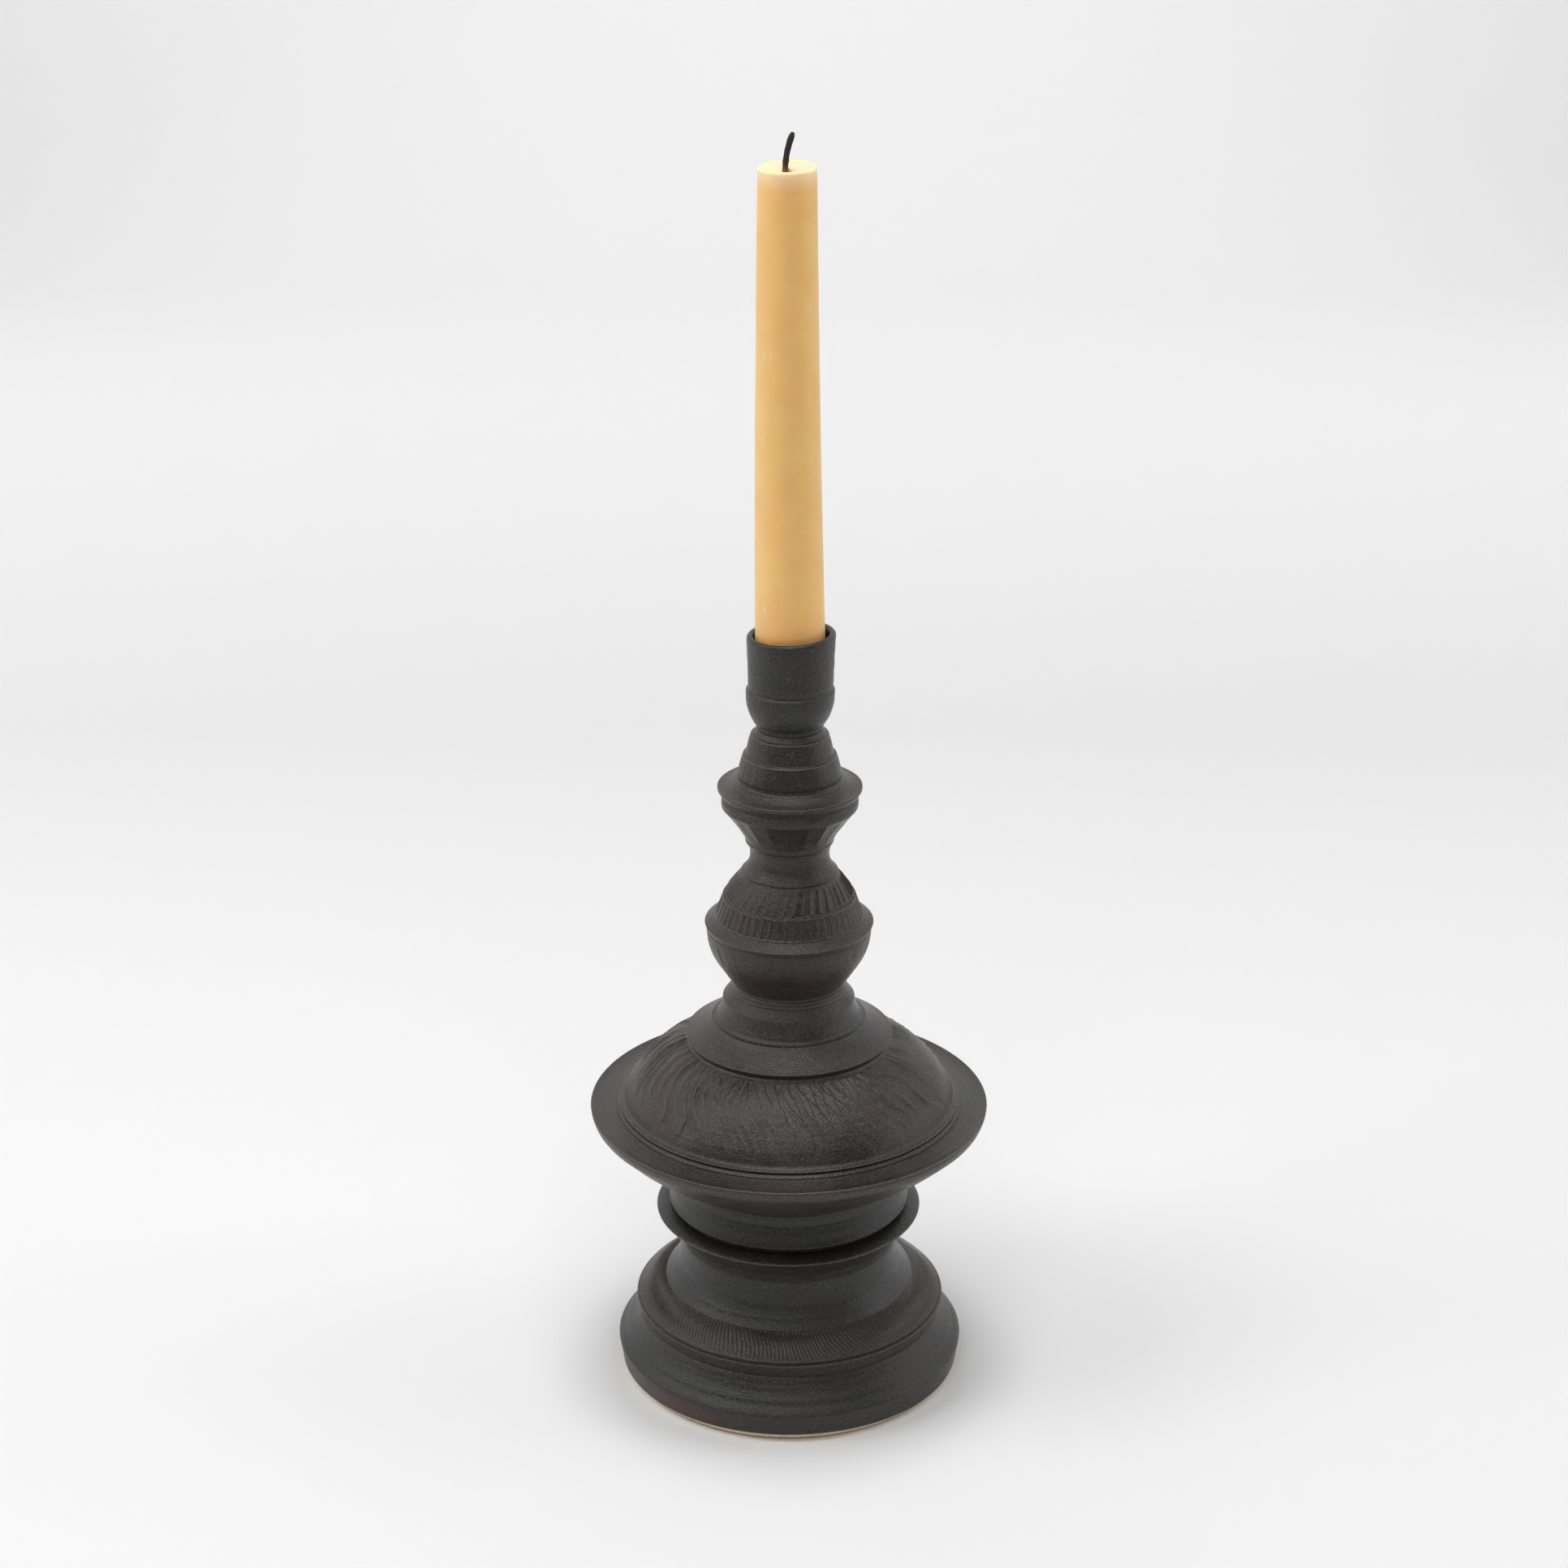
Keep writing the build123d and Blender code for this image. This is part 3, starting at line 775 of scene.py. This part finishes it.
def burntWick():
    look = wickLook
    material, tree, shader = newMaterial("burnt_wick")
    place, height = placeAndHeight(tree)
    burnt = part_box("candle")[1].z - 0.5 * mm
    fibres = noiseNode(tree, place, look["fibres"], 4, 0.7)
    char = mixed(tree, ranged(tree, fibres, 0.35, 0.7), look["charDark"], look["charPale"])
    raw = mixed(tree, fibres, look["rawRed"], look["rawDark"])
    charred = ranged(tree, height, burnt - 1.5 * mm, burnt + 1.2 * mm)
    tree.links.new(mixed(tree, charred, raw, char), shader.inputs["Base Color"])
    shader.inputs["Roughness"].default_value = look["roughness"]
    bumpNode(tree, [(fibres, 0.2 * mm)], shader.inputs["Normal"])
    return material


def wickPath(low, high):
    # (x, z, how far it has turned) from the candle's foot to the tip
    look = wickLook
    angle, radius = look["bendAngle"], look["bendRadius"]
    bendFoot = high.z - (radius + look["radius"]) * math.sin(angle)
    steps = np.concatenate([np.linspace(low.z, bendFoot - 12 * mm, 20),
                            np.linspace(bendFoot - 11.8 * mm, bendFoot, 60)])
    path = [(0, z, 0) for z in steps]
    for k in range(1, 61):
        turn = angle * k / 60
        path.append((radius * (1 - math.cos(turn)), bendFoot + radius * math.sin(turn), turn))
    return path


def buildWick():
    look = wickLook
    low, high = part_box("wick")
    path = wickPath(low, high)
    around = look["around"]
    rough = grain((around, len(path)), 95, 2, 2)
    points = []
    for row, (x, z, turn) in enumerate(path):
        share = (z - low.z) / (high.z - low.z)
        tip = max(0.0, (row - len(path) + look["tipRows"]) / look["tipRows"])
        for k in range(around):
            angle = tau * k / around
            twisted = look["strands"] * (angle + look["twist"] * z / 3)
            strand = look["strandDepth"] * abs(math.sin(twisted))
            radius = look["radius"] * (0.92 + strand + 0.05 * rough[k, row])
            radius = radius * math.sqrt(max(0.02, 1 - tip ** 2))
            across = radius * math.cos(angle)
            points.append((x + waxLook["lean"] * share + across * math.cos(turn),
                           radius * math.sin(angle), z - across * math.sin(turn)))
    faces = []
    for row in range(len(path) - 1):
        for k in range(around):
            a, b = row * around + k, row * around + (k + 1) % around
            faces.append((a, b, b + around, a + around))
    faces.append(tuple(range(around - 1, -1, -1)))
    faces.append(tuple(range(len(points) - around, len(points))))
    mesh = bpy.data.meshes.new("wick")
    mesh.from_pydata(points, [], faces)
    mesh.polygons.foreach_set("use_smooth", np.ones(len(mesh.polygons), bool))
    mesh.materials.append(burntWick())
    wick = bpy.data.objects.new("visual_wick", mesh)
    bpy.context.scene.collection.objects.link(wick)
    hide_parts("wick")
    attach(wick, "candle")


buildWick()
print("stage: candle and wick made")

studioLook = {
    "paper": (0.86, 0.86, 0.86),
    "paperRoughness": 0.9,
    "paperGloss": 0.2,
    "sweep": {"halfWidth": 4.0, "near": -4.0, "far": 1.6, "bend": 0.9, "tall": 2.6},
    "world": (1.0, 1.0, 1.0),
    "worldStrength": 0.08,
    # name, place, where it points, width and height, watts
    "boxes": [
        ("top_box", (0.0, -0.3, 1.6), (0, 0, 0.2), (0.8, 0.6), 5),
        ("small_top_box", (0.0, 0.1, 1.5), (0, 0, 0.2), (0.4, 0.4), 5),
        ("left_box", (-1.35, 0.1, 0.75), (0, 0, 0.2), (0.9, 1.3), 4.5),
        ("left_high_box", (-1.2, -0.4, 1.4), (0, 0, 0.2), (0.8, 0.8), 8),
        ("right_box", (1.35, 0.1, 0.75), (0, 0, 0.2), (0.9, 1.3), 6.5),
        ("left_back_box", (-1.1, 1.1, 0.8), (0, 0, 0.2), (0.9, 1.2), 2.6),
        ("right_back_box", (1.1, 1.1, 0.8), (0, 0, 0.2), (0.9, 1.2), 2.4),
        ("front_box", (0.0, -1.5, 1.9), (0, 0, 0.2), (1.6, 1.0), 11),
        ("paper_box", (0.0, 0.9, 1.6), (0, 1.9, 1.42), (2.6, 0.5), 30),
    ],
}


def sweep():
    # a paper sweep: flat floor, a wide bend, and a wall
    look = studioLook["sweep"]
    far, bend = look["far"], look["bend"]
    rail = [(look["near"], 0.0), (far, 0.0)]
    for k in range(1, 25):
        turn = math.pi / 2 * k / 24
        rail.append((far + bend * math.sin(turn), bend - bend * math.cos(turn)))
    rail.append((far + bend, look["tall"]))
    points = [(x, y, z) for y, z in rail for x in (-look["halfWidth"], look["halfWidth"])]
    faces = [(2 * k, 2 * k + 1, 2 * k + 3, 2 * k + 2) for k in range(len(rail) - 1)]
    mesh = bpy.data.meshes.new("sweep")
    mesh.from_pydata(points, [], faces)
    mesh.polygons.foreach_set("use_smooth", np.ones(len(mesh.polygons), bool))
    material, tree, shader = newMaterial("sweep_paper")
    shader.inputs["Base Color"].default_value = (*studioLook["paper"], 1)
    shader.inputs["Roughness"].default_value = studioLook["paperRoughness"]
    shader.inputs["Specular IOR Level"].default_value = studioLook["paperGloss"]
    mesh.materials.append(material)
    paper = bpy.data.objects.new("sweep", mesh)
    bpy.context.scene.collection.objects.link(paper)


def softbox(name, place, aim, size, power):
    light = bpy.data.lights.new(name, "AREA")
    light.shape = "RECTANGLE"
    light.size, light.size_y = size
    light.energy = power
    lamp = bpy.data.objects.new(name, light)
    bpy.context.scene.collection.objects.link(lamp)
    lamp.location = place
    lamp.rotation_euler = (Vector(aim) - Vector(place)).to_track_quat("-Z", "Y").to_euler()


def studio():
    sweep()
    for box in studioLook["boxes"]:
        softbox(*box)
    world = bpy.data.worlds.new("studio")
    world.use_nodes = True
    background = world.node_tree.nodes["Background"]
    background.inputs["Color"].default_value = (*studioLook["world"], 1)
    background.inputs["Strength"].default_value = studioLook["worldStrength"]
    scene = bpy.context.scene
    scene.world = world
    scene.view_settings.view_transform = "Standard"
    scene.view_settings.look = "None"


cameraLook = {
    "lens": 75,
    "sensor": 36,
    "place": (-1.6 * mm, -0.9767, 0.5916),
    "downward": 21.35,          # degrees below level
}


def camera():
    data = bpy.data.cameras.new("camera")
    data.sensor_width = cameraLook["sensor"]
    data.lens = cameraLook["lens"]
    view = bpy.data.objects.new("camera", data)
    bpy.context.scene.collection.objects.link(view)
    view.location = cameraLook["place"]
    view.rotation_euler = (math.radians(90 - cameraLook["downward"]), 0, 0)
    bpy.context.scene.camera = view


studio()
camera()
print("stage: studio lit")
